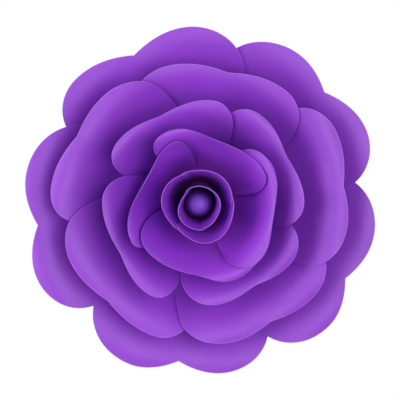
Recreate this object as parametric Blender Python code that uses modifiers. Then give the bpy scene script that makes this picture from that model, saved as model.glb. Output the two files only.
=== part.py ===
"""Giant paper flower: rings of curled card petals glued round a card disc, with a ball in its bud.

The flower lies on its back and faces +Z.  The origin is the middle of the disc's back.
Every ring has one bowl-shaped surface that all its petals follow.  A petal lies on top of
its clockwise neighbour, so its clockwise end is lifted and its other end is tucked under.
"""
import math
from typing import NamedTuple

import bmesh
import bpy

MM = 0.001

# The whole flower
FLOWER_RADIUS = 157.5 * MM   # the longest lobe of the outer ring
FLOWER_DEPTH = 93.0 * MM     # the rim of the bud above the back of the disc
CREST = 0.98                 # where a ring stops rising, as a share of its longest lobe

# Card, glue and the hidden base
PAPER = 0.5 * MM
GLUE_GAP = 0.3 * MM
DISC_RADIUS = 0.24 * FLOWER_RADIUS
DISC_THICKNESS = 1.8 * MM
BALL_RADIUS = 12.2 * MM

# Glued tab of every petal
TAB_PITCH = 1.25 * MM   # distance between neighbouring petals at their tabs
TAB_ANGLE = 30.0        # half the angle that a tab takes
TAB_LENGTH = 7.0 * MM

# Bend of every petal, as shares of its length from tab to rim or of its half width
WIDENING_START = 0.1
WIDENING_LENGTH = 0.4
CURL_FADE_START = 0.4
CURL_FADE = 0.9         # how much of the curl is gone at a petal's side
NOTCH_EASING = 0.25     # how much shallower than the cut notch the curl's own notch is
RIDGE_START = 0.4
RIDGE_LENGTH = 0.4
CUP_WIDENING_LENGTH = 0.6
CUP_CORNER_START = 0.75
CUP_RISE = 1.6
CUP_TAB_NARROWING = 0.8
CUP_TAB_SHARE = 0.22

# Fineness of the petal grids
COLUMNS = 14
ROWS = 7
ROW_CROWDING = 1.1      # above 1 the rows are closer at the rim, below 1 at the tab
INNER_ROWS = 10         # the inner petals bend most sharply, just outside their tabs
INNER_ROW_CROWDING = 0.7
CUP_COLUMNS = 12
CUP_ROWS = 6
BALL_SEGMENTS = 20
BALL_RINGS = 12
DISC_SEGMENTS = 64
BALL_SEAT_STEPS = 400


class Ring(NamedTuple):
    """The shared surface of one ring of petals, and what its petals have in common."""
    tab: float        # radius of the glued ends
    lobe: float       # radius that the longest lobe reaches
    top: float        # height of the crest above the back of the disc
    hollow: float     # above 1 the petal stays low for longer and rises more steeply
    pitch: float      # distance between overlapping petals at the crest
    shoulder: float   # drop of the outline from a lobe to the petal's side
    flare: float      # growth of the petal's angle towards the middle
    curl: float       # fall of the rolled rim at the crest, less nearer the middle
    curl_width: float
    ridge: float      # height of the fold line that runs in from the notch
    ridge_angle: float
    lobe_power: float  # below 1 the lobes are full next to the notch, above 1 they are slack


class Side(NamedTuple):
    """One half of a petal: the tip of its lobe and the angle of its side edge."""
    reach: float      # as a share of the ring's longest lobe
    tip_angle: float
    edge_angle: float


class Petal(NamedTuple):
    """A two-lobed petal, with its notch at a bearing counted from +X towards +Y."""
    bearing: float
    notch: float      # radius of the notch, as a share of the ring's longest lobe
    tucked: Side
    lifted: Side


class Cup(NamedTuple):
    """A rolled cup of upright petals, wider at its rim than at its foot."""
    centre: tuple     # where its middle is glued
    foot: float       # radius where the wall turns up from the glued tab
    rim: float
    top: float
    taper: float      # 1 for a straight cone, more for a wall that turns upright
    pitch: float
    corner: float     # rounding of a petal's corners, as a share of its length
    oval: float       # how much longer the rim's radius is along the oval's bearing
    oval_bearing: float
    lobes: int        # blunt corners of the rim
    lobe_depth: float
    lobe_bearing: float
    flare: float      # how far the rim leans out
    flare_start: float


OUTER = Ring(tab=26 * MM, lobe=FLOWER_RADIUS, top=36 * MM, hollow=1.7, pitch=3.0 * MM,
             shoulder=57 * MM, flare=0.3, curl=4.2 * MM, curl_width=22 * MM, ridge=2.5 * MM,
             ridge_angle=7.0, lobe_power=0.99)
SECOND = Ring(tab=20 * MM, lobe=0.820 * FLOWER_RADIUS, top=59 * MM, hollow=1.3, pitch=3.4 * MM,
              shoulder=32 * MM, flare=0.5, curl=7.5 * MM, curl_width=27 * MM, ridge=2.5 * MM,
              ridge_angle=8.0, lobe_power=1.12)
THIRD = Ring(tab=14.5 * MM, lobe=0.577 * FLOWER_RADIUS, top=76 * MM, hollow=1.1, pitch=3.8 * MM,
             shoulder=34 * MM, flare=0.2, curl=6.5 * MM, curl_width=20 * MM, ridge=2.2 * MM,
             ridge_angle=9.0, lobe_power=1.47)
INNER = Ring(tab=9.5 * MM, lobe=0.434 * FLOWER_RADIUS, top=89 * MM, hollow=1.0, pitch=4.6 * MM,
             shoulder=23 * MM, flare=0.05, curl=5.0 * MM, curl_width=14 * MM, ridge=1.6 * MM,
             ridge_angle=11.0, lobe_power=2.26)
BUD = Cup(centre=(-1.1 * MM, 1.1 * MM), foot=12.5 * MM, rim=23.6 * MM, top=FLOWER_DEPTH,
          taper=1.2, pitch=1.1 * MM, corner=0.04, oval=1.25 * MM, oval_bearing=128.8, lobes=3,
          lobe_depth=1.7 * MM, lobe_bearing=46.3, flare=5.8 * MM, flare_start=0.5)
HEART = Cup(centre=(-0.95 * MM, -1.3 * MM), foot=9.5 * MM, rim=16.6 * MM, top=FLOWER_DEPTH - 2 * MM,
            taper=1.0, pitch=1.0 * MM, corner=0.04, oval=0.65 * MM, oval_bearing=56.5, lobes=4,
            lobe_depth=0.4 * MM, lobe_bearing=20.0, flare=0.8 * MM, flare_start=0.7)
GLUED_ORDER = (OUTER, SECOND, THIRD, INNER, BUD, HEART)

OUTER_PETALS = (
    Petal(114.6, 0.865, Side(0.943, 22, 42.7), Side(0.943, 21, 46.5)),
    Petal(41.1, 0.893, Side(0.955, 16, 43.3), Side(0.980, 18, 40.1)),
    Petal(-28.6, 0.906, Side(0.972, 16, 41.1), Side(0.995, 16, 40.1)),
    Petal(-97.7, 0.902, Side(0.972, 16, 39.3), Side(0.993, 16, 42.0)),
    Petal(188.9, 0.901, Side(1.000, 18, 39.5), Side(0.963, 16, 44.3)),
)
SECOND_PETALS = (
    Petal(78.0, 0.864, Side(0.911, 26, 47.2), Side(0.919, 25, 43.2)),
    Petal(151.8, 0.914, Side(0.983, 24, 38.5), Side(0.940, 20, 44.7)),
    Petal(226.9, 0.896, Side(0.941, 23, 39.6), Side(0.945, 22, 45.6)),
    Petal(300.3, 0.917, Side(0.976, 21, 39.9), Side(0.956, 17, 42.3)),
    Petal(6.6, 0.941, Side(1.000, 22, 39.9), Side(0.978, 17, 39.3)),
)
THIRD_PETALS = (
    Petal(115.3, 0.886, Side(0.947, 29, 47.0), Side(0.958, 33, 50.7)),
    Petal(29.3, 0.902, Side(0.983, 29, 47.0), Side(0.954, 28, 48.8)),
    Petal(303.6, 0.907, Side(1.000, 26, 47.0), Side(0.948, 24, 51.0)),
    Petal(211.0, 0.870, Side(0.961, 30, 45.5), Side(0.909, 33, 54.7)),
)
INNER_PETALS = (
    Petal(71.8, 0.802, Side(0.978, 44, 61.8), Side(0.888, 44, 63.4)),
    Petal(-6.6, 0.891, Side(0.991, 37, 61.3), Side(0.974, 34, 61.0)),
    Petal(261.9, 0.846, Side(1.000, 36, 76.9), Side(0.872, 43, 68.6)),
    Petal(152.7, 0.724, Side(0.920, 55, 68.0), Side(0.852, 40, 53.7)),
)
# Bearings of the cups' petals, and half the angle that each takes
BUD_PETALS = ((61.0, 60.0), (-63.0, 76.0), (171.0, 62.0))
HEART_PETALS = ((27.0, 108.0), (207.0, 84.0))

CARD_COLOUR = (0.300, 0.080, 0.700, 1.0)
BALL_COLOUR = (0.240, 0.120, 0.580, 1.0)
DISC_COLOUR = (0.240, 0.065, 0.560, 1.0)
CARD_ROUGHNESS = 0.55


def smooth(x):
    """Ease from 0 to 1, flat at both ends."""
    x = min(max(x, 0.0), 1.0)
    return x * x * (3.0 - 2.0 * x)


def tab_height(level):
    """Height of the glued ends of one ring: each ring is glued on the one below."""
    slant = TAB_PITCH * TAB_ANGLE * len(OUTER_PETALS) / 360.0
    first = DISC_THICKNESS + GLUE_GAP + slant + PAPER / 2
    return first + level * (2 * slant + PAPER + GLUE_GAP)


def lift_along(point, turn, s, lift):
    """A point of the surface of revolution `point` at s, moved off it by `lift`."""
    step = 0.001
    r, z = point(s)
    r_before, z_before = point(s - step)
    r_after, z_after = point(s + step)
    dr = r_after - r_before
    dz = z_after - z_before
    length = math.hypot(dr, dz)
    r -= lift * dz / length
    z += lift * dr / length
    return r * math.cos(turn), r * math.sin(turn), z


def side_angle(edge_angle, flare, v):
    """Half the petal's angle at v: it flares inwards, then narrows to the glued tab."""
    full = edge_angle * (1.0 + flare * (1.0 - v))
    narrow = TAB_ANGLE / (edge_angle * (1.0 + flare))
    return full * (narrow + (1.0 - narrow) * smooth((v - WIDENING_START) / WIDENING_LENGTH))


def lobe_outline(ring, petal, side, angle):
    """Reach of the petal's rim at an angle from its notch, as a share of the longest lobe."""
    if angle <= side.tip_angle:
        rise = math.sin(math.pi / 2 * angle / side.tip_angle) ** ring.lobe_power
        return petal.notch + (side.reach - petal.notch) * rise
    q = min((angle - side.tip_angle) / (side.edge_angle - side.tip_angle), 1.0)
    return side.reach - ring.shoulder / ring.lobe * (1.0 - math.sqrt(1.0 - q * q))


def curl_outline(ring, petal, side, angle):
    """The line that the rim's curl follows: the outline, but without the notch's sharp corner."""
    if angle > side.tip_angle:
        return lobe_outline(ring, petal, side, angle)
    mean_reach = (petal.tucked.reach + petal.lifted.reach) / 2
    dip = petal.notch + NOTCH_EASING * (mean_reach - petal.notch)
    return dip + (side.reach - dip) * smooth(angle / side.tip_angle)


def petal_point(ring, level, spacing, petal, u, v):
    """Place of one point of a ring petal: u runs across it, v from its tab to its rim."""
    side = petal.lifted if u > 0 else petal.tucked
    across = abs(u)
    rim = ring.lobe * lobe_outline(ring, petal, side, across * side.edge_angle)
    angle = across * side_angle(side.edge_angle, ring.flare, v)
    r = ring.tab + (rim - ring.tab) * v
    span = CREST * ring.lobe - ring.tab
    s = (r - ring.tab) / span
    foot = tab_height(level)

    def bowl(t):
        rise = max((span * t - TAB_LENGTH) / (span - TAB_LENGTH), 0.0)
        return ring.tab + span * t, foot + (ring.top - foot) * smooth(rise ** ring.hollow)

    pitch = TAB_PITCH + (ring.pitch - TAB_PITCH) * s
    lift = pitch * math.copysign(angle, u) / spacing
    turn = math.radians(petal.bearing - math.copysign(angle, u))
    x, y, z = lift_along(bowl, turn, s, lift)
    curl_rim = ring.lobe * curl_outline(ring, petal, side, across * side.edge_angle)
    rolled = max(1.0 - (curl_rim - r) / ring.curl_width, 0.0) ** 2
    faded = smooth((across - CURL_FADE_START) / (1.0 - CURL_FADE_START))
    z -= ring.curl * rolled * s * (1.0 - CURL_FADE * faded)
    fold = math.exp(-(angle / ring.ridge_angle) ** 2)
    z += ring.ridge * fold * smooth((v - RIDGE_START) / RIDGE_LENGTH)
    return x, y, z


def cup_wall(cup, foot, turn, t):
    """Radius and height of a cup's wall at t, 0 at its foot and 1 at its rim.

    Below 0 it is the flat glued tab, which runs in from the foot.
    """
    if t < 0.0:
        return cup.foot + TAB_LENGTH * t / CUP_TAB_SHARE, foot
    oval = math.cos(2 * (turn - math.radians(cup.oval_bearing)))
    lobe = math.cos(cup.lobes * (turn - math.radians(cup.lobe_bearing)))
    rim = cup.rim + cup.oval * oval + cup.lobe_depth * lobe
    out = 1.0 - max(1.0 - t, 0.0) ** cup.taper
    lean = max(t - cup.flare_start, 0.0) / (1.0 - cup.flare_start)
    height = foot + (cup.top - foot) * t ** CUP_RISE
    return cup.foot + (rim - cup.foot) * out + cup.flare * lean ** 2, height


def cup_pitch(cup, s):
    """Distance between the overlapping petals of a cup."""
    return TAB_PITCH + (cup.pitch - TAB_PITCH) * max(s, 0.0)


def cup_point(cup, level, spacing, bearing, half_angle, u, v):
    """Place of one point of a cup's petal."""
    widening = smooth((v - WIDENING_START) / CUP_WIDENING_LENGTH)
    angle = half_angle * u * (CUP_TAB_NARROWING + (1.0 - CUP_TAB_NARROWING) * widening)
    corner = max(abs(u) - CUP_CORNER_START, 0.0) / (1.0 - CUP_CORNER_START)
    length = (1.0 + CUP_TAB_SHARE) * (1.0 - cup.corner * (1.0 - math.sqrt(1.0 - corner * corner)))
    s = length * v - CUP_TAB_SHARE
    turn = math.radians(bearing - angle)
    foot = tab_height(level)
    lift = cup_pitch(cup, s) * angle / spacing
    x, y, z = lift_along(lambda t: cup_wall(cup, foot, turn, t), turn, s, lift)
    return x + cup.centre[0], y + cup.centre[1], z


def ball_height(cup, petals):
    """Height at which the ball wedges in the cup, a glue gap away from its wall."""
    foot = tab_height(GLUED_ORDER.index(cup))
    widest = max(half_angle for bearing, half_angle in petals)
    clear = BALL_RADIUS + GLUE_GAP + PAPER / 2 + cup.pitch * widest * len(petals) / 360.0
    narrow_side = math.radians(cup.oval_bearing + 90.0)
    height = 0.0
    for step in range(BALL_SEAT_STEPS + 1):
        r, z = cup_wall(cup, foot, narrow_side, step / BALL_SEAT_STEPS)
        if r < clear:
            height = max(height, z + math.sqrt(clear * clear - r * r))
    return height


def card_material(name, colour):
    """Coloured card: one plain colour with a low sheen."""
    material = bpy.data.materials.new(name)
    material.use_nodes = True
    shader = material.node_tree.nodes["Principled BSDF"]
    shader.inputs["Base Color"].default_value = colour
    shader.inputs["Roughness"].default_value = CARD_ROUGHNESS
    shader.inputs["Metallic"].default_value = 0.0
    return material


def sheet_object(name, collection, material, columns, rows, place, crowding=ROW_CROWDING):
    """A sheet of card: a flat grid bent by `place`, then given its thickness."""
    bm = bmesh.new()
    bmesh.ops.create_grid(bm, x_segments=columns, y_segments=rows, size=1.0)
    for vert in bm.verts:
        u = math.copysign((1.0 - math.cos(math.pi * vert.co.x)) / 2, vert.co.x)
        v = 1.0 - (1.0 - (vert.co.y + 1.0) / 2) ** crowding
        vert.co = place(u, v)
    mesh = bpy.data.meshes.new(name)
    bm.to_mesh(mesh)
    bm.free()
    mesh.shade_smooth()
    mesh.materials.append(material)
    sheet = bpy.data.objects.new(name, mesh)
    collection.objects.link(sheet)
    solid = sheet.modifiers.new("Card thickness", "SOLIDIFY")
    solid.thickness = PAPER
    solid.offset = 0.0
    return sheet


def petal_ring(collection, name, ring, petals, rows=ROWS, crowding=ROW_CROWDING):
    """All petals of one ring, each glued in as a sheet of its own."""
    level = GLUED_ORDER.index(ring)
    spacing = 360.0 / len(petals)
    for number, petal in enumerate(petals, 1):
        title = f"{name}_{number}"
        sheet_object(title, collection, card_material(title, CARD_COLOUR), COLUMNS, rows,
                     lambda u, v, petal=petal: petal_point(ring, level, spacing, petal, u, v),
                     crowding)


def petal_cup(collection, name, cup, petals):
    """The upright petals of one rolled cup."""
    level = GLUED_ORDER.index(cup)
    spacing = 360.0 / len(petals)
    for number, (bearing, half_angle) in enumerate(petals, 1):
        title = f"{name}_{number}"
        sheet_object(title, collection, card_material(title, CARD_COLOUR), CUP_COLUMNS, CUP_ROWS,
                     lambda u, v, b=bearing, h=half_angle: cup_point(cup, level, spacing, b, h, u, v))


def back_disc(collection):
    """The round of thick card that every ring is glued to, with its back at Z = 0."""
    bm = bmesh.new()
    bmesh.ops.create_cone(bm, cap_ends=True, segments=DISC_SEGMENTS, radius1=DISC_RADIUS,
                          radius2=DISC_RADIUS, depth=DISC_THICKNESS)
    mesh = bpy.data.meshes.new("back_disc")
    bm.to_mesh(mesh)
    bm.free()
    mesh.materials.append(card_material("back_disc", DISC_COLOUR))
    disc = bpy.data.objects.new("back_disc", mesh)
    disc.location = (0.0, 0.0, DISC_THICKNESS / 2)
    collection.objects.link(disc)


def centre_ball(collection, cup, petals):
    """The foam ball that is glued into the throat of the inner cup."""
    bm = bmesh.new()
    bmesh.ops.create_uvsphere(bm, u_segments=BALL_SEGMENTS, v_segments=BALL_RINGS,
                              radius=BALL_RADIUS)
    mesh = bpy.data.meshes.new("centre_ball")
    bm.to_mesh(mesh)
    bm.free()
    mesh.shade_smooth()
    mesh.materials.append(card_material("centre_ball", BALL_COLOUR))
    ball = bpy.data.objects.new("centre_ball", mesh)
    ball.location = (*cup.centre, ball_height(cup, petals))
    collection.objects.link(ball)


def main():
    for thing in list(bpy.data.objects):
        bpy.data.objects.remove(thing, do_unlink=True)
    collection = bpy.data.collections.new("giant_paper_flower")
    bpy.context.scene.collection.children.link(collection)
    back_disc(collection)
    petal_ring(collection, "outer_petal", OUTER, OUTER_PETALS)
    petal_ring(collection, "second_petal", SECOND, SECOND_PETALS)
    petal_ring(collection, "third_petal", THIRD, THIRD_PETALS)
    petal_ring(collection, "inner_petal", INNER, INNER_PETALS, INNER_ROWS, INNER_ROW_CROWDING)
    petal_cup(collection, "bud_petal", BUD, BUD_PETALS)
    petal_cup(collection, "heart_petal", HEART, HEART_PETALS)
    centre_ball(collection, HEART, HEART_PETALS)


main()
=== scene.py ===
"""Giant paper flower: curled card petals in rings round a rolled bud, with a ball in it.

The flower lies on its back and faces +Z. The origin is the middle of the disc's back.
"""
import math
from typing import NamedTuple

import bmesh
import bpy
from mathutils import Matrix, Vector


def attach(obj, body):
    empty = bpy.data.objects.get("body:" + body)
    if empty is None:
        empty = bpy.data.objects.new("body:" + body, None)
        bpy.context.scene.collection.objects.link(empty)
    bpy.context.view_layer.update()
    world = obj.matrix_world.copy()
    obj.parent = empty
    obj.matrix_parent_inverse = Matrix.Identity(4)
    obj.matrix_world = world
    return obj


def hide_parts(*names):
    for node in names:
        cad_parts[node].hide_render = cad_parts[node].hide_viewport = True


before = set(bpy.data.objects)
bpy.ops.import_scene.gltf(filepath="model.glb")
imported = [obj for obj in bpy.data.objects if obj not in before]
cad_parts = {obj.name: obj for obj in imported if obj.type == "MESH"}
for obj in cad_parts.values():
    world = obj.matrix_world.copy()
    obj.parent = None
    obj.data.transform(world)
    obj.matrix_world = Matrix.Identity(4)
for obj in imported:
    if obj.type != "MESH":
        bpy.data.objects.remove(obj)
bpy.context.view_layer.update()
MM = 0.001

# Back disc
# A round of thick grey board covered with the petals' card, punched out by a die. It lies at
# the bottom. The outer petals are glued to it, and each further ring to the ring below.
FLOWER_RADIUS = 157.5 * MM      # the longest lobe of the outer ring
DISC_RADIUS = 0.24 * FLOWER_RADIUS
DISC_THICKNESS = 1.8 * MM
DISC_SEGMENTS = 160
DISC_EDGE_ROUND = 0.35 * MM
DISC_EDGE_STEPS = 3
BRIM_ANGLE = 60.0               # the disc's faces meet at more than this where it is rounded
SHARP_ANGLE = 35.0              # faces of a piece that meet at more than this look sharp
DISC_COLOUR = (0.255, 0.062, 0.590, 1.0)
DISC_PALE = (0.360, 0.130, 0.720, 1.0)       # of its fibres and clouds
DISC_EDGE_COLOUR = (0.300, 0.105, 0.600, 1.0)
DISC_CUT_SHARE = 0.7            # how much of the edge's colour the cut edge takes
DISC_CUT_START = 0.25 * MM      # from either face to where the cut edge begins to show
DISC_CUT_FULL = 0.5 * MM
DISC_FIBRE = 0.9 * MM           # size of the fibres
DISC_FIBRE_SHARE = 0.10
DISC_FIBRE_ROUGHNESS = 0.16
DISC_CLOUD = 18 * MM            # size of the clouds
DISC_CLOUD_SHARE = 0.08
DISC_ROUGHNESS = 0.55
DISC_GRAIN = 0.45 * MM
DISC_BUCKLE = 9 * MM
DISC_BUCKLE_HEIGHT = 2.0        # as a share of the grain's height
DISC_BUMP = 0.03 * MM
DISC_BUMP_STRENGTH = 0.6


class Shade:
    """A socket in the nodes of a material or of the world; sums with it add Math nodes."""

    def __init__(self, owner, socket=None):
        self.owner = owner
        self.socket = socket

    def node(self, kind, settings=None, sockets=None, output=0):
        """One node: its settings are made first, then its sockets get values or links."""
        made = self.owner.node_tree.nodes.new(kind)
        for name, value in (settings or {}).items():
            setattr(made, name, value)
        for name, value in (sockets or {}).items():
            if isinstance(value, Shade):
                self.owner.node_tree.links.new(value.socket, made.inputs[name])
            else:
                made.inputs[name].default_value = value
        return Shade(self.owner, made.outputs[output])

    def sum(self, operation, *terms):
        """A Math node; each term is a Shade or a plain number."""
        return self.node("ShaderNodeMath", {"operation": operation}, dict(enumerate(terms)))

    def __add__(self, other):
        return self.sum("ADD", self, other)

    def __radd__(self, other):
        return self.sum("ADD", other, self)

    def __sub__(self, other):
        return self.sum("SUBTRACT", self, other)

    def __rsub__(self, other):
        return self.sum("SUBTRACT", other, self)

    def __mul__(self, other):
        return self.sum("MULTIPLY", self, other)

    def __rmul__(self, other):
        return self.sum("MULTIPLY", other, self)

    def blend(self, first, second):
        """The first colour where this is 0, the second where it is 1."""
        return self.node("ShaderNodeMix", {"data_type": "RGBA", "clamp_factor": True},
                         {0: self, 6: first, 7: second}, output=2)

    def place(self):
        """The place in the object, in metres."""
        return self.node("ShaderNodeTexCoord", output="Object")

    def height(self):
        """The height above the back of the disc."""
        return self.node("ShaderNodeSeparateXYZ", None, {"Vector": self.place()}, output="Z")

    def noise(self, size, detail=2.0):
        """Blotches of about `size` metres, from 0 to 1, fixed in the object."""
        return self.node("ShaderNodeTexNoise", None,
                         {"Vector": self.place(), "Scale": 1.0 / size, "Detail": detail})

    def step(self, low, high):
        """0 below `low`, 1 above `high`, and smooth between."""
        return self.node("ShaderNodeMapRange", {"interpolation_type": "SMOOTHSTEP"},
                         {"Value": self, "From Min": low, "From Max": high})

    def bump(self, distance, strength):
        """The surface's normal, roughened with this as the height."""
        return self.node("ShaderNodeBump", None,
                         {"Height": self, "Distance": distance, "Strength": strength})


def new_material(name):
    """A material, its Principled shader, and a Shade to add nodes to it with."""
    material = bpy.data.materials.new(name)
    material.use_nodes = True
    return material, material.node_tree.nodes["Principled BSDF"], Shade(material)


def feed(node, name, shade):
    """Links a Shade to one of a node's sockets."""
    node.id_data.links.new(shade.socket, node.inputs[name])


def board_material():
    """Card laid over grey board: fibres, faint clouds, and a paler cut edge."""
    material, shader, shade = new_material("disc_card")
    height = shade.height()
    from_below = height.step(DISC_CUT_START, DISC_CUT_FULL)
    from_above = height.step(DISC_THICKNESS - DISC_CUT_FULL, DISC_THICKNESS - DISC_CUT_START)
    cut = from_below * (1.0 - from_above)
    colour = (cut * DISC_CUT_SHARE).blend(DISC_COLOUR, DISC_EDGE_COLOUR)
    fibres = shade.noise(DISC_FIBRE, detail=3.0)
    pale = fibres * DISC_FIBRE_SHARE + shade.noise(DISC_CLOUD) * DISC_CLOUD_SHARE
    feed(shader, "Base Color", pale.blend(colour, DISC_PALE))
    feed(shader, "Roughness", DISC_ROUGHNESS + fibres * DISC_FIBRE_ROUGHNESS)
    buckle = shade.noise(DISC_BUCKLE) * DISC_BUCKLE_HEIGHT
    grain = shade.noise(DISC_GRAIN, detail=3.0) + buckle
    feed(shader, "Normal", grain.bump(DISC_BUMP, DISC_BUMP_STRENGTH))
    return material


def finished_piece(name, bm, material, node, thickness=0.0):
    """A piece from its mesh, riding on the flower and standing for its CAD node."""
    mesh = bpy.data.meshes.new(name)
    bm.to_mesh(mesh)
    bm.free()
    piece = bpy.data.objects.new(name, mesh)
    bpy.context.scene.collection.objects.link(piece)
    if thickness:
        solid = piece.modifiers.new("card thickness", "SOLIDIFY")
        solid.thickness = thickness
        solid.offset = 0.0
        bpy.context.view_layer.update()
        graph = bpy.context.evaluated_depsgraph_get()
        piece.data = bpy.data.meshes.new_from_object(piece.evaluated_get(graph))
        piece.modifiers.clear()
    piece.data.shade_smooth()
    piece.data.set_sharp_from_angle(angle=math.radians(SHARP_ANGLE))
    piece.data.materials.append(material)
    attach(piece, "root")
    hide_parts(node)


bm = bmesh.new()
bmesh.ops.create_cone(bm, cap_ends=True, segments=DISC_SEGMENTS, radius1=DISC_RADIUS,
                      radius2=DISC_RADIUS, depth=DISC_THICKNESS)
bmesh.ops.translate(bm, verts=bm.verts, vec=(0.0, 0.0, DISC_THICKNESS / 2))
brims = [edge for edge in bm.edges if edge.calc_face_angle() > math.radians(BRIM_ANGLE)]
bmesh.ops.bevel(bm, geom=brims, offset=DISC_EDGE_ROUND, offset_type="OFFSET", affect="EDGES",
                segments=DISC_EDGE_STEPS, profile=0.5, material=-1)
finished_piece("disc", bm, board_material(), "back_disc")

# Outer petals
# Five sheets of card cut with two lobes and a notch between them, curled so that the rims
# roll back, and glued by a flat tab to the disc. Each lies on its clockwise neighbour.
PAPER = 0.5 * MM
GLUE_GAP = 0.3 * MM
CREST = 0.98             # where a ring stops rising, as a share of its longest lobe
TAB_PITCH = 1.25 * MM    # distance between neighbouring petals at their tabs
TAB_ANGLE = 30.0         # half the angle that a tab takes
TAB_LENGTH = 7.0 * MM
# Bend of every petal, as shares of its length from tab to rim or of its half width
WIDENING_START = 0.1
WIDENING_LENGTH = 0.4
CURL_FADE_START = 0.4
CURL_FADE = 0.9          # how much of the curl is gone at a petal's side
NOTCH_EASING = 0.25      # how much shallower than the cut notch the curl's own notch is
RIDGE_START = 0.4
RIDGE_LENGTH = 0.4
SLOPE_STEP = 0.001
PETAL_COLUMNS = 84
PETAL_ROWS = 40
# The card
CARD_COLOUR = (0.232, 0.032, 0.515, 1.0)
CARD_PALE = (0.290, 0.050, 0.590, 1.0)       # of its fibres and clouds
CARD_PAINTED_LIGHT = (0.322, 0.044, 0.665, 1.0)        # painted light: paler where light would come through the thin inner and bud sheets
CARD_PAINTED_SHADE = (0.265, 0.029, 0.485, 1.0)       # painted shade of the inner and bud sheets near their tabs
CARD_CUT_COLOUR = (0.430, 0.170, 0.740, 1.0)
CARD_CUT_START = 0.993   # where the cut edge begins, as a share of the sheet's length
CARD_GLOSS = 0.6
CARD_ROUGHNESS = 0.46
CARD_FIBRE = 0.7 * MM    # size of the fibres
CARD_FIBRE_SHARE = 0.14
CARD_FIBRE_ROUGHNESS = 0.08
CARD_CLOUD = 40 * MM     # size of the clouds
CARD_CLOUD_SHARE = 0.16
CARD_CLOUD_ROUGHNESS = 0.06
CARD_GRAIN = 0.4 * MM
CARD_BUCKLE = 14 * MM
CARD_BUCKLE_HEIGHT = 6.0   # as a share of the grain's height
CARD_BUMP = 0.03 * MM
CARD_BUMP_STRENGTH = 0.5


class Ring(NamedTuple):
    """The bowl that one ring of petals shares, and what its petals have in common."""
    tab: float        # radius of the glued ends
    lobe: float       # radius that the longest lobe reaches
    top: float        # height of the crest above the back of the disc
    hollow: float     # above 1 the petal stays low for longer and rises more steeply
    pitch: float      # distance between overlapping petals at the crest
    shoulder: float   # drop of the outline from a lobe to the petal's side
    flare: float      # growth of the petal's angle towards the middle
    curl: float       # fall of the rolled rim at the crest, less nearer the middle
    curl_width: float
    ridge: float      # height of the fold line that runs in from the notch
    ridge_angle: float
    lobe_power: float  # below 1 the lobes are full next to the notch, above 1 they are slack


class Side(NamedTuple):
    """One half of a petal: the tip of its lobe and the angle of its side edge."""
    reach: float      # as a share of the ring's longest lobe
    tip_angle: float
    edge_angle: float


class Petal(NamedTuple):
    """A two-lobed petal, with its notch at a bearing counted from +X towards +Y."""
    bearing: float
    notch: float      # radius of the notch, as a share of the ring's longest lobe
    tucked: Side
    lifted: Side


OUTER_PETALS = (
    Petal(114.6, 0.865, Side(0.943, 22, 42.7), Side(0.943, 21, 46.5)),
    Petal(41.1, 0.893, Side(0.955, 16, 43.3), Side(0.980, 18, 40.1)),
    Petal(-28.6, 0.906, Side(0.972, 16, 41.1), Side(0.995, 16, 40.1)),
    Petal(-97.7, 0.902, Side(0.972, 16, 39.3), Side(0.993, 16, 42.0)),
    Petal(188.9, 0.901, Side(1.000, 18, 39.5), Side(0.963, 16, 44.3)),
)


def smooth(x):
    """Ease from 0 to 1, flat at both ends."""
    x = min(max(x, 0.0), 1.0)
    return x * x * (3.0 - 2.0 * x)


def tab_height(level):
    """Height of one ring's glued tabs, which lie on those of the ring below."""
    slant = TAB_PITCH * TAB_ANGLE * len(OUTER_PETALS) / 360.0
    first = DISC_THICKNESS + GLUE_GAP + slant + PAPER / 2
    return first + level * (2 * slant + PAPER + GLUE_GAP)


def lift_along(point, turn, s, lift):
    """A point of the bowl `point` at s, moved off it by `lift`, at an angle round the flower."""
    r, z = point(s)
    r_before, z_before = point(s - SLOPE_STEP)
    r_after, z_after = point(s + SLOPE_STEP)
    dr = r_after - r_before
    dz = z_after - z_before
    length = math.hypot(dr, dz)
    r -= lift * dz / length
    z += lift * dr / length
    return Vector((r * math.cos(turn), r * math.sin(turn), z))


def side_angle(edge_angle, flare, v):
    """Half the petal's angle at v: it flares inwards, then narrows to the glued tab."""
    full = edge_angle * (1.0 + flare * (1.0 - v))
    narrow = TAB_ANGLE / (edge_angle * (1.0 + flare))
    return full * (narrow + (1.0 - narrow) * smooth((v - WIDENING_START) / WIDENING_LENGTH))


def lobe_outline(ring, petal, side, angle):
    """Reach of the petal's rim at an angle from its notch, as a share of the longest lobe."""
    if angle <= side.tip_angle:
        rise = math.sin(math.pi / 2 * angle / side.tip_angle) ** ring.lobe_power
        return petal.notch + (side.reach - petal.notch) * rise
    q = min((angle - side.tip_angle) / (side.edge_angle - side.tip_angle), 1.0)
    return side.reach - ring.shoulder / ring.lobe * (1.0 - math.sqrt(1.0 - q * q))


def curl_outline(ring, petal, side, angle):
    """The line that the rim's curl follows: the outline, but without the notch's sharp corner."""
    if angle > side.tip_angle:
        return lobe_outline(ring, petal, side, angle)
    mean_reach = (petal.tucked.reach + petal.lifted.reach) / 2
    dip = petal.notch + NOTCH_EASING * (mean_reach - petal.notch)
    return dip + (side.reach - dip) * smooth(angle / side.tip_angle)


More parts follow.
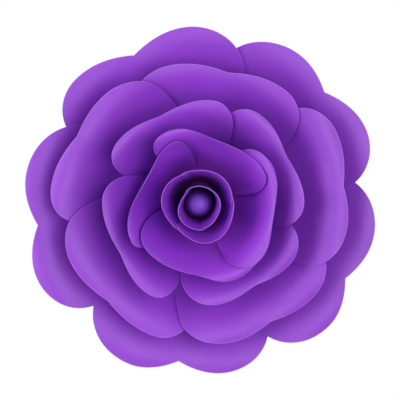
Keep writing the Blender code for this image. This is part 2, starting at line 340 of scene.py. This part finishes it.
def petal_point(ring, level, spacing, petal, u, v):
    """Place of one point of a ring petal: u runs across it, v from its tab to its rim."""
    side = petal.lifted if u > 0 else petal.tucked
    across = abs(u)
    rim = ring.lobe * lobe_outline(ring, petal, side, across * side.edge_angle)
    angle = across * side_angle(side.edge_angle, ring.flare, v)
    r = ring.tab + (rim - ring.tab) * v
    span = CREST * ring.lobe - ring.tab
    s = (r - ring.tab) / span
    foot = tab_height(level)

    def bowl(t):
        rise = max((span * t - TAB_LENGTH) / (span - TAB_LENGTH), 0.0)
        return ring.tab + span * t, foot + (ring.top - foot) * smooth(rise ** ring.hollow)

    pitch = TAB_PITCH + (ring.pitch - TAB_PITCH) * s
    lift = pitch * math.copysign(angle, u) / spacing
    turn = math.radians(petal.bearing - math.copysign(angle, u))
    place = lift_along(bowl, turn, s, lift)
    curl_rim = ring.lobe * curl_outline(ring, petal, side, across * side.edge_angle)
    rolled = max(1.0 - (curl_rim - r) / ring.curl_width, 0.0) ** 2
    faded = smooth((across - CURL_FADE_START) / (1.0 - CURL_FADE_START))
    place.z -= ring.curl * rolled * s * (1.0 - CURL_FADE * faded)
    fold = math.exp(-(angle / ring.ridge_angle) ** 2)
    place.z += ring.ridge * fold * smooth((v - RIDGE_START) / RIDGE_LENGTH)
    return place


def card_material(name, cut_share, painted_light_at=None, painted_light_reach=0.0):
    """Smooth coloured card: a low sheen, fine fibres, and a paler line along the cut rim.

    The distance along the sheet is 0 at its tab and 1 at its rim. When a place for painted light
    is given, the card is palest there, as painted light for light coming through the thin sheet.
    Over the given reach from there it turns plain at the rim's side and dark with painted shade
    at the tab's side.
    """
    material, shader, shade = new_material(name)
    shader.inputs["Specular IOR Level"].default_value = CARD_GLOSS
    across_and_along = shade.node("ShaderNodeUVMap", {"uv_map": "sheet"})
    along = shade.node("ShaderNodeSeparateXYZ", None, {"Vector": across_and_along}, output="Y")
    fibres = shade.noise(CARD_FIBRE, detail=3.0)
    clouds = shade.noise(CARD_CLOUD, detail=1.0)
    colour = CARD_COLOUR
    if painted_light_at is not None:
        # Painted shade towards the tab, painted light at the palest place, and the plain colour
        # towards the rim.
        lower = along.step(painted_light_at - painted_light_reach, painted_light_at).blend(CARD_PAINTED_SHADE, CARD_PAINTED_LIGHT)
        colour = along.step(painted_light_at, painted_light_at + painted_light_reach).blend(lower, CARD_COLOUR)
    pale = fibres * CARD_FIBRE_SHARE + clouds * CARD_CLOUD_SHARE
    cut = along.step(CARD_CUT_START, 1.0) * cut_share
    feed(shader, "Base Color", cut.blend(pale.blend(colour, CARD_PALE), CARD_CUT_COLOUR))
    roughness = CARD_ROUGHNESS + fibres * CARD_FIBRE_ROUGHNESS + clouds * CARD_CLOUD_ROUGHNESS
    feed(shader, "Roughness", roughness)
    buckle = shade.noise(CARD_BUCKLE, detail=1.0) * CARD_BUCKLE_HEIGHT
    grain = shade.noise(CARD_GRAIN) + buckle
    feed(shader, "Normal", grain.bump(CARD_BUMP, CARD_BUMP_STRENGTH))
    return material


def card_sheet(node, columns, rows, place, card):
    """A sheet of card: a flat grid bent by `place` and given its thickness.

    Its columns are closest together at its middle and at its sides.
    """
    bm = bmesh.new()
    bm.loops.layers.uv.new("sheet")
    bmesh.ops.create_grid(bm, x_segments=columns, y_segments=rows, size=1.0, calc_uvs=True)
    for vert in bm.verts:
        u = math.copysign((1.0 - math.cos(math.pi * vert.co.x)) / 2, vert.co.x)
        vert.co = place(u, (vert.co.y + 1.0) / 2)
    finished_piece(f"{node}_card", bm, card, node, thickness=PAPER)


def petal_ring(title, ring, level, petals, card):
    """One ring of petals; its level counts the rings glued below it."""
    spacing = 360.0 / len(petals)
    for number, petal in enumerate(petals, 1):
        card_sheet(f"{title}_{number}", PETAL_COLUMNS, PETAL_ROWS,
                   lambda u, v: petal_point(ring, level, spacing, petal, u, v), card)


petal_card = card_material("petal_card", cut_share=0.8)
petal_ring(
    "outer_petal",
    Ring(tab=26 * MM, lobe=FLOWER_RADIUS, top=36 * MM, hollow=1.7, pitch=3.0 * MM,
         shoulder=57 * MM, flare=0.3, curl=4.2 * MM, curl_width=22 * MM, ridge=2.5 * MM,
         ridge_angle=7.0, lobe_power=0.99),
    level=0, petals=OUTER_PETALS, card=petal_card)

# Second petals
# Five smaller sheets of the same card, which rise more steeply. They are turned by half a
# petal, so that each covers the joint between two outer petals, and glued on their tabs.
SECOND_PETALS = (
    Petal(78.0, 0.864, Side(0.911, 26, 47.2), Side(0.919, 25, 43.2)),
    Petal(151.8, 0.914, Side(0.983, 24, 38.5), Side(0.940, 20, 44.7)),
    Petal(226.9, 0.896, Side(0.941, 23, 39.6), Side(0.945, 22, 45.6)),
    Petal(300.3, 0.917, Side(0.976, 21, 39.9), Side(0.956, 17, 42.3)),
    Petal(6.6, 0.941, Side(1.000, 22, 39.9), Side(0.978, 17, 39.3)),
)
petal_ring(
    "second_petal",
    Ring(tab=20 * MM, lobe=0.820 * FLOWER_RADIUS, top=59 * MM, hollow=1.3, pitch=3.4 * MM,
         shoulder=32 * MM, flare=0.5, curl=7.5 * MM, curl_width=27 * MM, ridge=2.5 * MM,
         ridge_angle=8.0, lobe_power=1.12),
    level=1, petals=SECOND_PETALS, card=petal_card)

# Third petals
# Four sheets of the same card, which stand steeper again and start to close round the bud.
# Their tabs are glued on those of the second ring.
THIRD_PETALS = (
    Petal(115.3, 0.886, Side(0.947, 29, 47.0), Side(0.958, 33, 50.7)),
    Petal(29.3, 0.902, Side(0.983, 29, 47.0), Side(0.954, 28, 48.8)),
    Petal(303.6, 0.907, Side(1.000, 26, 47.0), Side(0.948, 24, 51.0)),
    Petal(211.0, 0.870, Side(0.961, 30, 45.5), Side(0.909, 33, 54.7)),
)
petal_ring(
    "third_petal",
    Ring(tab=14.5 * MM, lobe=0.577 * FLOWER_RADIUS, top=76 * MM, hollow=1.1, pitch=3.8 * MM,
         shoulder=34 * MM, flare=0.2, curl=6.5 * MM, curl_width=20 * MM, ridge=2.2 * MM,
         ridge_angle=9.0, lobe_power=1.47),
    level=2, petals=THIRD_PETALS, card=petal_card)

# Inner petals
# Four sheets of the same card with slack lobes. Their colour carries painted light part way up
# and painted shade towards their tabs. They are glued on the third ring's tabs, and their rims
# stand almost as high as the bud's.
INNER_PETALS = (
    Petal(71.8, 0.802, Side(0.978, 44, 61.8), Side(0.888, 44, 63.4)),
    Petal(-6.6, 0.891, Side(0.991, 37, 61.3), Side(0.974, 34, 61.0)),
    Petal(261.9, 0.846, Side(1.000, 36, 76.9), Side(0.872, 43, 68.6)),
    Petal(152.7, 0.724, Side(0.920, 55, 68.0), Side(0.852, 40, 53.7)),
)
# The inner sheets get painted light part way up and painted shade towards their tabs.
inner_card = card_material("inner_card", cut_share=0.4, painted_light_at=0.76, painted_light_reach=0.26)
petal_ring(
    "inner_petal",
    Ring(tab=9.5 * MM, lobe=0.434 * FLOWER_RADIUS, top=89 * MM, hollow=1.0, pitch=4.6 * MM,
         shoulder=23 * MM, flare=0.05, curl=5.0 * MM, curl_width=14 * MM, ridge=1.6 * MM,
         ridge_angle=11.0, lobe_power=2.26),
    level=3, petals=INNER_PETALS, card=inner_card)

# Bud
# Three upright sheets of the same card rolled into a cup with three blunt corners, each
# glued over the edge of the next, with a foot that turns in on the inner ring's tabs.
FLOWER_DEPTH = 93.0 * MM        # the rim of the bud above the back of the disc
CUP_RISE = 1.6                  # above 1 the wall leaves its tab gently and then steepens
CUP_WIDENING_LENGTH = 0.6
CUP_CORNER_START = 0.75         # where the rounding of a corner starts across the half width
CUP_TAB_NARROWING = 0.8         # width of the tab, as a share of the petal's
CUP_TAB_SHARE = 0.22            # length of the tab, as a share of the wall's
CUP_COLUMNS = 72
CUP_ROWS = 40


class Cup(NamedTuple):
    """A rolled cup of upright petals, wider at its rim than at its foot."""
    centre: tuple     # where its middle is glued
    foot: float       # radius where the wall turns up from the glued tab
    rim: float        # radius of the rim before it leans out
    top: float        # height of the rim above the back of the disc
    taper: float      # 1 for a straight cone, more for a wall that turns upright
    pitch: float      # distance between overlapping petals at the rim
    corner: float     # rounding of a petal's corners, as a share of its length
    oval: float       # how much longer the rim's radius is along the oval's bearing
    oval_bearing: float
    lobes: int        # blunt corners of the rim
    lobe_depth: float
    lobe_bearing: float
    flare: float      # how far the rim leans out
    flare_start: float  # where the lean starts, as a share of the wall


def cup_wall(cup, foot, turn, t):
    """Radius and height of a cup's wall at t, 0 at its foot and 1 at its rim.

    Below 0 it is the flat glued tab, which runs in from the foot.
    """
    if t < 0.0:
        return cup.foot + TAB_LENGTH * t / CUP_TAB_SHARE, foot
    oval = math.cos(2 * (turn - math.radians(cup.oval_bearing)))
    lobe = math.cos(cup.lobes * (turn - math.radians(cup.lobe_bearing)))
    rim = cup.rim + cup.oval * oval + cup.lobe_depth * lobe
    out = 1.0 - max(1.0 - t, 0.0) ** cup.taper
    lean = max(t - cup.flare_start, 0.0) / (1.0 - cup.flare_start)
    height = foot + (cup.top - foot) * t ** CUP_RISE
    return cup.foot + (rim - cup.foot) * out + cup.flare * lean ** 2, height


def cup_point(cup, level, spacing, bearing, half_angle, u, v):
    """Place of one point of a cup's petal: u runs across it, v from its tab to its rim."""
    widening = smooth((v - WIDENING_START) / CUP_WIDENING_LENGTH)
    angle = half_angle * u * (CUP_TAB_NARROWING + (1.0 - CUP_TAB_NARROWING) * widening)
    corner = max(abs(u) - CUP_CORNER_START, 0.0) / (1.0 - CUP_CORNER_START)
    rounded = 1.0 - cup.corner * (1.0 - math.sqrt(1.0 - corner * corner))
    length = (1.0 + CUP_TAB_SHARE) * rounded
    s = length * v - CUP_TAB_SHARE
    turn = math.radians(bearing - angle)
    foot = tab_height(level)
    lift = (TAB_PITCH + (cup.pitch - TAB_PITCH) * max(s, 0.0)) * angle / spacing
    place = lift_along(lambda t: cup_wall(cup, foot, turn, t), turn, s, lift)
    return place + Vector((*cup.centre, 0.0))


def petal_cup(title, cup, level, petals, card):
    """One cup; a petal is its bearing and half the angle that it takes."""
    spacing = 360.0 / len(petals)
    for number, (bearing, half_angle) in enumerate(petals, 1):
        card_sheet(f"{title}_{number}", CUP_COLUMNS, CUP_ROWS,
                   lambda u, v: cup_point(cup, level, spacing, bearing, half_angle, u, v), card)


BUD_PETALS = ((61.0, 60.0), (-63.0, 76.0), (171.0, 62.0))
# The bud's and the heart's card is dark with painted shade low down and palest with painted light
# near the rim.
bud_card = card_material("bud_card", cut_share=0.2, painted_light_at=0.92, painted_light_reach=0.22)
petal_cup(
    "bud_petal",
    Cup(centre=(-1.1 * MM, 1.1 * MM), foot=12.5 * MM, rim=23.6 * MM, top=FLOWER_DEPTH,
        taper=1.2, pitch=1.1 * MM, corner=0.04, oval=1.25 * MM, oval_bearing=128.8, lobes=3,
        lobe_depth=1.7 * MM, lobe_bearing=46.3, flare=5.8 * MM, flare_start=0.5),
    level=4, petals=BUD_PETALS, card=bud_card)

# Heart
# Two sheets of the bud's card rolled into a narrow cone inside the bud, glued on the bud's
# foot a little off its middle.
HEART = Cup(centre=(-0.95 * MM, -1.3 * MM), foot=9.5 * MM, rim=16.6 * MM,
            top=FLOWER_DEPTH - 2 * MM, taper=1.0, pitch=1.0 * MM, corner=0.04, oval=0.65 * MM,
            oval_bearing=56.5, lobes=4, lobe_depth=0.4 * MM, lobe_bearing=20.0, flare=0.8 * MM,
            flare_start=0.7)
HEART_LEVEL = 5
HEART_PETALS = ((27.0, 108.0), (207.0, 84.0))
petal_cup("heart_petal", HEART, level=HEART_LEVEL, petals=HEART_PETALS, card=bud_card)

# Ball
# A foam craft ball with a satin coat of paint, pushed into the heart until it touches the
# cone at its narrow sides, and held there by glue.
BALL_RADIUS = 12.2 * MM
BALL_SUBDIVISIONS = 5
BALL_COLOUR = (0.390, 0.128, 0.860, 1.0)
# painted shade for the ball's lower part, deep in the heart
BALL_PAINTED_SHADE = (0.110, 0.020, 0.230, 1.0)
BALL_PAINTED_SHADE_BELOW = 0.55   # height over its middle below which it takes painted shade, as a share of its radius
BALL_MOTTLE = 3 * MM     # size of the mottles in its colour
BALL_MOTTLE_SHARE = 0.1
BALL_ROUGHNESS = 0.36
BALL_SHEEN = 2 * MM      # size of the spots in its sheen
BALL_SHEEN_ROUGHNESS = 0.14
BALL_BEAD = 2.4 * MM     # size of the foam's beads
BALL_BUMP = 0.05 * MM
BALL_BUMP_STRENGTH = 0.35
SEAT_STEPS = 400
# The ball lies as low as it can with its middle no nearer to the cone's wall than `clear`.
widest = max(half_angle for bearing, half_angle in HEART_PETALS)
clear = BALL_RADIUS + GLUE_GAP + PAPER / 2 + HEART.pitch * widest * len(HEART_PETALS) / 360.0
narrow_side = math.radians(HEART.oval_bearing + 90.0)
ball_height = 0.0
for count in range(SEAT_STEPS + 1):
    r, z = cup_wall(HEART, tab_height(HEART_LEVEL), narrow_side, count / SEAT_STEPS)
    if r < clear:
        ball_height = max(ball_height, z + math.sqrt(clear * clear - r * r))

ball_paint, shader, shade = new_material("ball_paint")
# Painted shade: the ball is dark up to a little above its middle and turns to its own colour
# towards the top.
painted_shade_height = ball_height + BALL_PAINTED_SHADE_BELOW * BALL_RADIUS
upper = shade.height().step(painted_shade_height, ball_height + BALL_RADIUS)
mottle = shade.noise(BALL_MOTTLE, detail=3.0) * BALL_MOTTLE_SHARE
feed(shader, "Base Color", (upper - mottle).blend(BALL_PAINTED_SHADE, BALL_COLOUR))
feed(shader, "Roughness", BALL_ROUGHNESS + shade.noise(BALL_SHEEN) * BALL_SHEEN_ROUGHNESS)
beads = shade.node("ShaderNodeTexVoronoi", None,
                   {"Vector": shade.place(), "Scale": 1.0 / BALL_BEAD})
feed(shader, "Normal", beads.bump(BALL_BUMP, BALL_BUMP_STRENGTH))
bm = bmesh.new()
bmesh.ops.create_icosphere(bm, subdivisions=BALL_SUBDIVISIONS, radius=BALL_RADIUS)
bmesh.ops.translate(bm, verts=bm.verts, vec=(*HEART.centre, ball_height))
finished_piece("ball", bm, ball_paint, "centre_ball")

# Floor
# A pale table top that the flower lies on. The camera sees it as the white of the
# photograph, and it keeps a trace of the flower's shadow.
FLOOR_SIZE = 6.0
FLOOR_DROP = 0.2 * MM    # below the back of the disc
FLOOR_COLOUR = (0.90, 0.90, 0.90, 1.0)
FLOOR_ROUGHNESS = 0.8
FLOOR_WHITE_SHARE = 0.985   # of plain white in what the camera sees; the rest is lit paint
WHITE = (1.0, 1.0, 1.0, 1.0)
bm = bmesh.new()
bmesh.ops.create_grid(bm, x_segments=1, y_segments=1, size=FLOOR_SIZE / 2)
bmesh.ops.translate(bm, verts=bm.verts, vec=(0.0, 0.0, -FLOOR_DROP))
mesh = bpy.data.meshes.new("floor")
bm.to_mesh(mesh)
bm.free()
floor_paint, shader, shade = new_material("floor_paint")
shader.inputs["Base Color"].default_value = FLOOR_COLOUR
shader.inputs["Roughness"].default_value = FLOOR_ROUGHNESS
paint = Shade(floor_paint, shader.outputs["BSDF"])
white = shade.node("ShaderNodeEmission", None, {"Color": WHITE, "Strength": 1.0})
camera_ray = shade.node("ShaderNodeLightPath", output="Is Camera Ray")
surface = shade.node("ShaderNodeMixShader", None,
                     {0: camera_ray * FLOOR_WHITE_SHARE, 1: paint, 2: white})
feed(floor_paint.node_tree.nodes["Material Output"], "Surface", surface)
mesh.materials.append(floor_paint)
floor = bpy.data.objects.new("floor", mesh)
bpy.context.scene.collection.objects.link(floor)

# Light
# A dim room with seven soft boxes round the flower. The two strongest are high up at the
# right and at the left. The camera sees the room's walls as the white of the photograph.
ROOM_LIGHT = 0.04
LAMP_SIZE = 1.0
LAMP_DISTANCE = 1.6
LAMP_TARGET = Vector((0.0, 0.0, 50 * MM))
world = bpy.data.worlds.new("room")
world.use_nodes = True
shade = Shade(world)
room = shade.node("ShaderNodeBackground", None, {"Color": WHITE, "Strength": ROOM_LIGHT})
white = shade.node("ShaderNodeBackground", None, {"Color": WHITE, "Strength": 1.0})
camera_ray = shade.node("ShaderNodeLightPath", output="Is Camera Ray")
walls = shade.node("ShaderNodeMixShader", None, {0: camera_ray, 1: room, 2: white})
feed(world.node_tree.nodes["World Output"], "Surface", walls)
world.node_tree.nodes.remove(world.node_tree.nodes["Background"])
bpy.context.scene.world = world


def soft_box(name, bearing, elevation, power):
    """A square lamp that faces the middle of the flower."""
    lamp = bpy.data.lights.new(name, "AREA")
    lamp.shape = "SQUARE"
    lamp.size = LAMP_SIZE
    lamp.energy = power
    turn = math.radians(bearing)
    rise = math.radians(elevation)
    away = math.cos(rise)
    towards = Vector((math.cos(turn) * away, math.sin(turn) * away, math.sin(rise)))
    thing = bpy.data.objects.new(name, lamp)
    thing.location = LAMP_TARGET + towards * LAMP_DISTANCE
    thing.rotation_euler = towards.to_track_quat("Z", "Y").to_euler()
    bpy.context.scene.collection.objects.link(thing)


soft_box("key", bearing=0.0, elevation=70.0, power=14.2)
soft_box("left", bearing=180.0, elevation=44.0, power=13.0)
soft_box("lower_left", bearing=205.0, elevation=20.0, power=5.4)
soft_box("right", bearing=0.0, elevation=30.0, power=5.6)
soft_box("upper_left", bearing=135.0, elevation=36.0, power=7.0)
soft_box("upper_right", bearing=45.0, elevation=45.0, power=4.2)
soft_box("below", bearing=265.0, elevation=28.0, power=4.0)

# Camera
# A long lens above the flower, tilted slightly towards its upper side.
VIEW_TILT = 5.4
VIEW_DISTANCE = 1.2
VIEW_TARGET = Vector((-0.4 * MM, 0.4 * MM, 38 * MM))
PHOTO_POINTS = 400       # width of the photograph
PHOTO_POINT = 0.857 * MM   # width of one of its points at the target
SENSOR_WIDTH = 36.0
tilt = math.radians(VIEW_TILT)
camera = bpy.data.cameras.new("camera")
camera.sensor_width = SENSOR_WIDTH
camera.lens = SENSOR_WIDTH * VIEW_DISTANCE / (PHOTO_POINTS * PHOTO_POINT)
eye = bpy.data.objects.new("camera", camera)
eye.location = VIEW_TARGET + VIEW_DISTANCE * Vector((0.0, math.sin(tilt), math.cos(tilt)))
eye.rotation_euler = (-tilt, 0.0, 0.0)
bpy.context.scene.collection.objects.link(eye)
bpy.context.scene.camera = eye
bpy.context.scene.view_settings.view_transform = "Standard"
